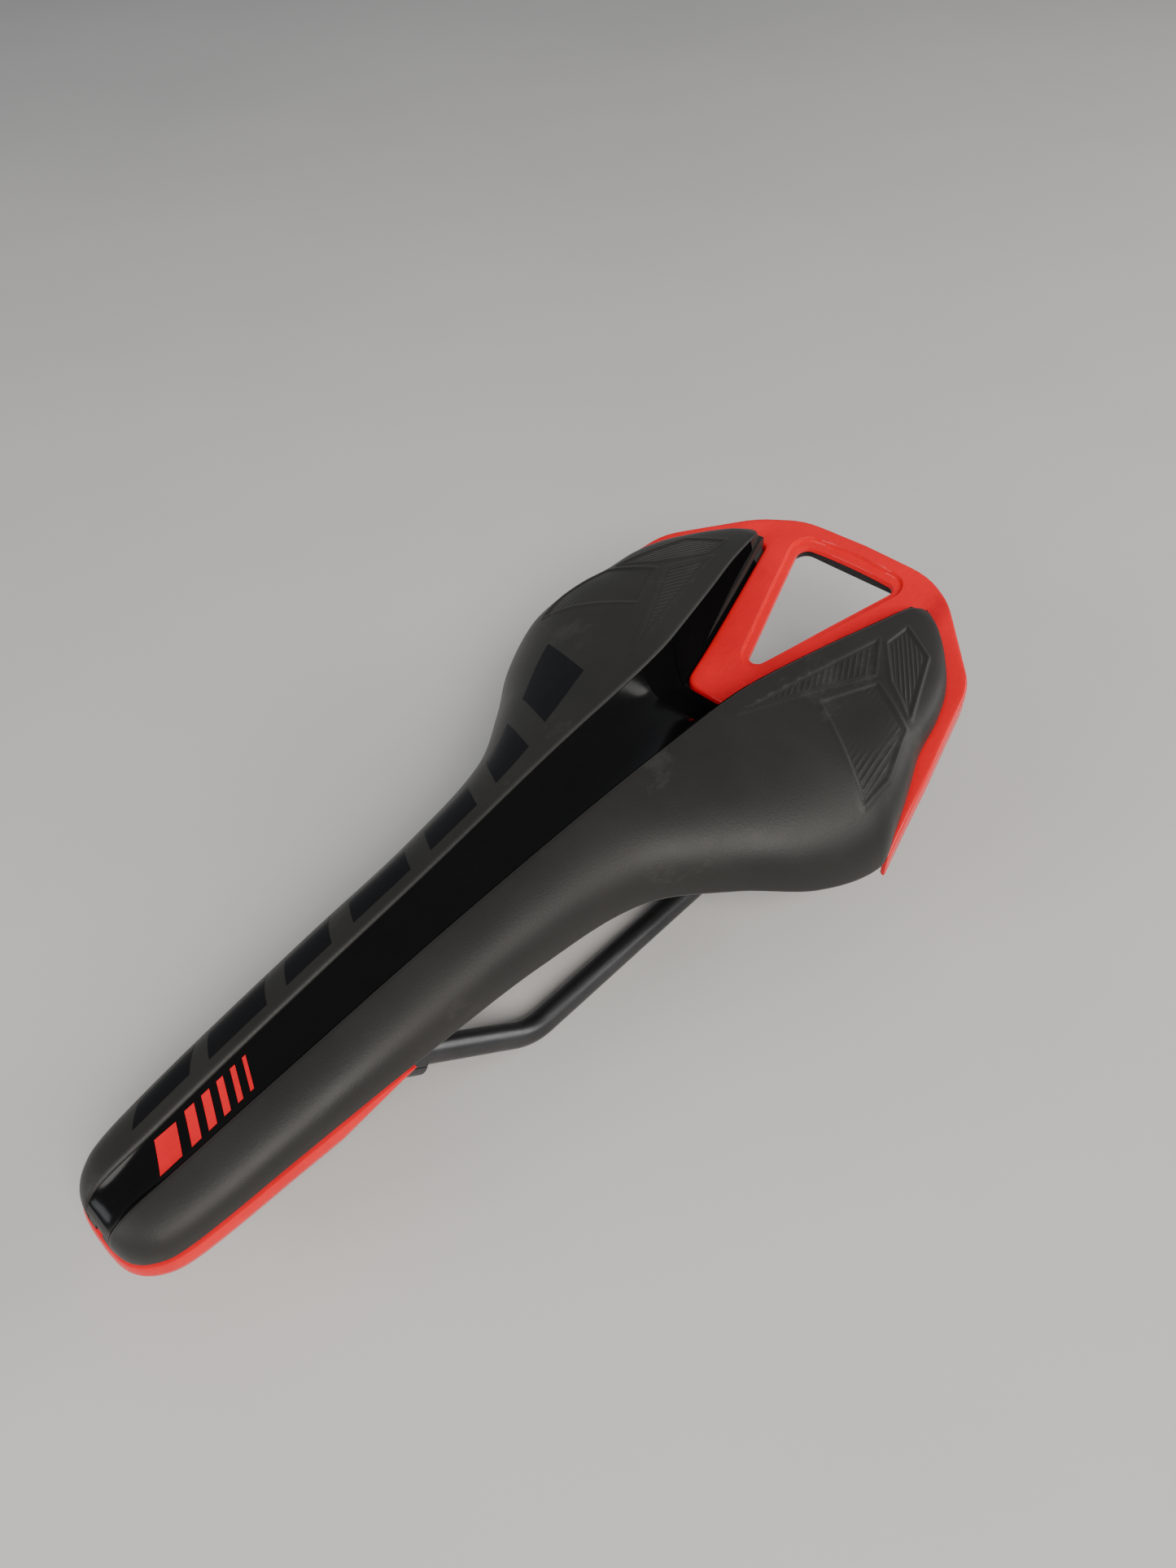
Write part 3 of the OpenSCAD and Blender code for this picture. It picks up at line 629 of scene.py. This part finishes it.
def away_from(P, loop, closed=True):
    return to_segments(P[:, 0], P[:, 1], loop.tolist(), closed)


def on_frame(P, rim_gap=0.0, window_gap=0.0):
    """Which points are on the frame, further than the gaps from its rim and its window."""
    held = inside(P[:, 0], P[:, 1], outer_loop.tolist()) & ~inside(P[:, 0], P[:, 1], win.tolist())
    if rim_gap:
        held &= (away_from(P, outer_loop) > rim_gap) & (away_from(P, win) > window_gap)
    return held


# A flat net of triangles: points inside the frame, with closed loops around rim and window
grid = np.stack(np.meshgrid(np.arange(-68, 68.1, 1.7), np.arange(53, 138, 1.7)), -1).reshape(-1, 2)
free = [grid[on_frame(grid, 1.5, 4.2)]]
free += [offset_points(outer_loop, d) for d in (0.1, 0.3, 0.6, 1.0, 2.0, 2.6)]
free = np.vstack(free)
free = free[on_frame(free, 0.08, 0.1)]
_, first = np.unique(np.floor(free / 0.05 + 0.137).astype(int), axis=0, return_index=True)
free = free[np.sort(first)]
loops = [outer_loop, win]
loops += [window_loop(m) for m in (0.12, 0.35, 1.2, 2.1, 2.3, 2.45, 2.6, 2.8, 3.1, 3.5)]
edges, start_at = [], 0
for loop in loops:
    edges += [(start_at + i, start_at + (i + 1) % len(loop)) for i in range(len(loop))]
    start_at += len(loop)
flat = [Vector(p) for p in np.vstack(loops + [free]).tolist()]
co, _, tris, _, _, _ = delaunay_2d_cdt(flat, edges, [], 0, 1e-5)
co = np.array([(v.x, v.y) for v in co])
tris = np.array([t for t in tris if len(t) == 3])
tris = tris[on_frame(co[tris].mean(1))]
legs = co[tris[:, 1:]] - co[tris[:, :1]]
twice_area = np.abs(legs[:, 0, 0] * legs[:, 1, 1] - legs[:, 0, 1] * legs[:, 1, 0])
tris = tris[twice_area > 1e-3]

# The net lifted to the frame's top and bottom, and walls between their edges
d_out, d_win = away_from(co, outer_loop), away_from(co, win)
full_outline = np.vstack([tail_half, (tail_half * [-1, 1])[::-1][1:]])
d_rim = away_from(co, full_outline, closed=False)
surface = np.array([frame_z(x, y) for x, y in co])
window_step = 1.5 * (1 - smooth((d_win - 2.3) / 0.5))
top = surface - arc_drop(d_out, 1.0) - window_step - arc_drop(d_win, 0.35)
depth = 3.2 + 3.3 * (1 - smooth((d_rim - 1.9) / 0.7))  # deeper along the outer rim
bottom = surface - depth
top = np.maximum(top, bottom + 0.4)
n_co = len(co)
verts = np.vstack([np.c_[co, top], np.c_[co, bottom]])
faces = [tuple(t) for t in tris] + [tuple(t[::-1] + n_co) for t in tris]
edge_uses = {}
for t in tris:
    for k in range(3):
        e = (t[k], t[(k + 1) % 3])
        edge_uses.setdefault(tuple(sorted(e)), []).append(e)
for uses in edge_uses.values():
    if len(uses) == 1:
        a, b = uses[0]
        faces.append((b, a, a + n_co, b + n_co))
tail_frame = outward(make_mesh("tail_frame_moulding", verts, faces, [RED], sharp=38))


# ---- Nose trim ----------------------------------------------------------------------------------
TRIM_END = -68  # where the trim runs out along the pads' sides
TRIM_HEIGHT = 5.2
half_ys = np.r_[np.linspace(TRIM_END, -130, 70), np.linspace(-130.6, -138.7, 22)]
half_path = [(pad_w(y), y) for y in half_ys] + [(3.4, NOSE)]
path = np.array(half_path + [(0, NOSE)] + [(-x, y) for x, y in half_path[::-1]])
path = resample(path, 0.9, False)
for _ in range(3):
    path[1:-1] = (path[:-2] + path[1:-1] * 2 + path[2:]) / 4
nrm = normals_2d(path)
rings = []
for (x, y), (nx, ny) in zip(path, nrm):
    s = min(1, 0.1 + (TRIM_END - y) / 24)  # the trim tapers towards its ends
    h = TRIM_HEIGHT * s * (1 - 0.3 * math.exp(-((x / 7) ** 2)))
    z = curve(PAD, y, 2) - 0.05
    section = [(-2.0, 0), (-2.0, -h), (-0.5, -h), (-0.1 * s, -h * 0.97), (0.45 * s, -h * 0.82),
               (0.85 * s, -h * 0.6), (1.0 * s, -h * 0.48), (0.98 * s, -h * 0.42), (0.8 * s, -h * 0.25),
               (0.62 * s, -h * 0.1), (0.4 * s, -0.02 * h), (0.05, 0)]
    rings.append([(x + nx * q, y + ny * q, z + dz) for q, dz in section])
verts, faces = loft(rings)
trim = outward(make_mesh("nose_trim_band", verts, faces, [RED], sharp=30))


# ---- Plain printed shapes ----------------------------------------------------------------------
def patch(name, corners, surface_at, mat, lift=0.07, n=(20, 10)):
    """Thin closed patch over a surface, between four corners given as (along, across) pairs."""
    a, b, c, d = [np.array(p, float) for p in corners]
    up, low = [], []
    for u in np.linspace(0, 1, n[0]):
        for v in np.linspace(0, 1, n[1]):
            p = mix(mix(a, b, u), mix(d, c, u), v)
            q, nq = surface_at(*p)
            up.append(q + nq * lift)
            low.append(q - nq * 0.05)
    k, (r, s) = len(up), n
    starts = [i * s + j for i in range(r - 1) for j in range(s - 1)]
    faces = [(v, v + 1, v + s + 1, v + s) for v in starts]
    rim = list(range(s)) + [i * s + s - 1 for i in range(1, r)]
    rim += [(r - 1) * s + j for j in range(s - 2, -1, -1)] + [i * s for i in range(r - 2, 0, -1)]
    sides = [(v, w, w + k, v + k) for v, w in zip(rim, rim[1:] + rim[:1])]
    back = [tuple(v + k for v in f[::-1]) for f in faces]
    return outward(make_mesh(name, up + low, faces + back + sides, [mat], sharp=60))


def on_channel(y, x):
    """Point and normal on the gloss channel."""
    half = flank(y, 60)
    z = float(np.interp(abs(x), half[:, 0], half[:, 1]))
    z2 = float(np.interp(abs(x) + 0.1, half[:, 0], half[:, 1]))
    n = np.array([-(z2 - z) / 0.1 * np.sign(x), 0, 1.0])
    return np.array([x, y, z]), n / np.linalg.norm(n)


def on_pad(y, s):
    """Point and normal on the -X pad at a share s of the way from its inner to its outer edge."""
    w, e = pad_w(y), curve(EDGE, y)
    n = curve(PAD, y, 4)
    ze, top = curve(PAD, y, 2), curve(PAD, y, 3)
    a0 = math.asin(min(1, (e / w) ** (n / 2)))
    a = a0 + (math.pi / 2 - a0) * s

    def at(b):
        height = (top - ze) * max(math.cos(b), 0) ** (2 / n)
        return np.array([-w * math.sin(b) ** (2 / n), ze + height])

    p, q = at(a), at(a + 0.01)
    t = (q - p) / np.linalg.norm(q - p)
    return np.array([p[0], y, p[1]]), np.array([t[1], 0, -t[0]])


BLOCK = [(-119.8, -4.2), (-114.2, -3.9), (-117.4, 3.8), (-123.2, 3.7)]
BARS = [(-111.6, 2.6), (-107.0, 2.2), (-102.8, 1.8), (-99.0, 1.4), (-95.6, 1.0)]  # place, width
BAR_SLANT = 3.3
# Gloss blocks along the -X pad: from, to, and the shares of the pad's width that they span
GLOSS_BLOCKS = [(-122, -106, 0.16, 0.5), (-101, -84, 0.12, 0.56), (-78, -64, 0.12, 0.52),
                (-57, -38, 0.12, 0.54), (-31, -14, 0.12, 0.5), (-6, 8, 0.14, 0.46),
                (17, 38, 0.16, 0.42)]
BLOCK_SLANT = 5.0

prints = [(patch("print_block", BLOCK, on_channel, INK), "gloss_red")]
for k, (y, t) in enumerate(BARS):
    corners = [(y, -4.3), (y + t, -4.3), (y + t - BAR_SLANT, 3.9), (y - BAR_SLANT, 3.9)]
    bar = patch(f"print_bar_{k + 1}", corners, on_channel, INK, n=(4, 14))
    prints.append((bar, "gloss_red"))
for k, (y0, y1, s0, s1) in enumerate(GLOSS_BLOCKS):
    corners = [(y0, s0), (y1, s0), (y1 + BLOCK_SLANT, s1), (y0 + BLOCK_SLANT, s1)]
    block = patch(f"print_gloss_{k + 1}", corners, on_pad, PRINT, lift=0.05, n=(24, 16))
    prints.append((block, "gloss_black"))

# ---- CAD nodes that stay, with their finishes ----------------------------------------------------
NODE_LOOKS = {"base_shell": NYLON, "rail_left": RAIL, "rail_right": RAIL, "nose_socket": HOLDER,
              "nose_clamp_plate": HOLDER, "rear_socket_left": HOLDER, "rear_socket_right": HOLDER,
              "nose_clamp_screws": STEEL, "rear_socket_screws": STEEL, "rear_frame_screws": STEEL,
              "nose_trim_screw": STEEL, "cover_left": COVER, "cover_right": COVER, "foam_left": NYLON,
              "foam_right": NYLON, "centre_strip": GLOSS, "rear_frame": RED, "nose_trim": RED}
for name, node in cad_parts.items():
    node.data.materials.clear()
    node.data.materials.append(NODE_LOOKS[name])
    node.data.polygons.foreach_set("use_smooth", [True] * len(node.data.polygons))
    mark_sharp(node.data, 58 if name == "base_shell" else 32)

for piece, slot, nodes in ((pad_left, "microfibre", ("cover_left", "foam_left")),
                           (pad_right, "microfibre", ("cover_right", "foam_right")),
                           (channel, "gloss_black", ("centre_strip",)),
                           (tail_frame, "gloss_red", ("rear_frame",)),
                           (trim, "gloss_red", ("nose_trim",))):
    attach(piece, "root")
    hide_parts(*nodes)
for piece in arms:
    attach(piece, "root")
for piece, slot in prints:
    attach(piece, "root")


# ---- Floor, lights, camera --------------------------------------------------------------------------
bpy.ops.mesh.primitive_plane_add(size=8, location=(0, 0, 0))
floor = bpy.context.active_object
floor.name = "floor"
FLOOR = material("pale_floor", (0.62, 0.61, 0.59), 0.55)
floor_tone = ramp(FLOOR, noise(FLOOR, coords(FLOOR), 3, 4, 0.6),
                  [(0.3, (0.6, 0.59, 0.575)), (0.7, (0.65, 0.64, 0.62))])
wire(FLOOR, floor_tone, socket(FLOOR, "Base Color"))
floor.data.materials.append(FLOOR)

world = bpy.data.worlds.new("studio")
bpy.context.scene.world = world
world.use_nodes = True
world.node_tree.nodes["Background"].inputs["Color"].default_value = (0.9, 0.93, 1, 1)
world.node_tree.nodes["Background"].inputs["Strength"].default_value = 0.26


AIM = (0, 0, 0.04)  # the middle of the saddle, where all lights point


def area_light(name, place, size, power, colour):
    d = bpy.data.lights.new(name, "AREA")
    d.shape, d.size, d.size_y = "RECTANGLE", size[0], size[1]
    d.energy, d.color = power, colour
    o = bpy.data.objects.new(name, d)
    o.location = place
    o.rotation_mode = "QUATERNION"
    o.rotation_quaternion = (Vector(AIM) - Vector(place)).to_track_quat("-Z", "Y")
    bpy.context.scene.collection.objects.link(o)


area_light("key", (0.95, -0.45, 1.05), (0.9, 0.7), 22, (1, 0.96, 0.9))
area_light("side", (0.75, 0.95, 0.55), (0.9, 0.4), 7, (1, 0.98, 0.95))
area_light("nose", (-0.5, -1.15, 0.6), (0.8, 0.5), 6, (0.94, 0.97, 1))

# The camera, as a scratch script fitted it to the photograph: its direction and roll, the place
# that it looks at and its distance from there
az, el, roll = (math.radians(v) for v in (47.65, 46.65, -4.47))
back = Vector((math.sin(az) * math.cos(el), -math.cos(az) * math.cos(el), math.sin(el)))
right = Vector((math.cos(az), math.sin(az), 0))
up = back.cross(right)
right, up = (right * math.cos(roll) + up * math.sin(roll),
             up * math.cos(roll) - right * math.sin(roll))
cam = bpy.data.cameras.new("camera")
cam.sensor_width = 36
cam.lens = 25.70
cam.clip_start = 0.01
eye = bpy.data.objects.new("camera", cam)
CAMERA_TARGET, CAMERA_DISTANCE = Vector((-0.29019, 0.27875, -0.37082)), 0.86808
place = CAMERA_TARGET + back * CAMERA_DISTANCE
eye.matrix_world = Matrix(((right.x, up.x, back.x, place.x), (right.y, up.y, back.y, place.y),
                           (right.z, up.z, back.z, place.z), (0, 0, 0, 1)))
bpy.context.scene.collection.objects.link(eye)
bpy.context.scene.camera = eye
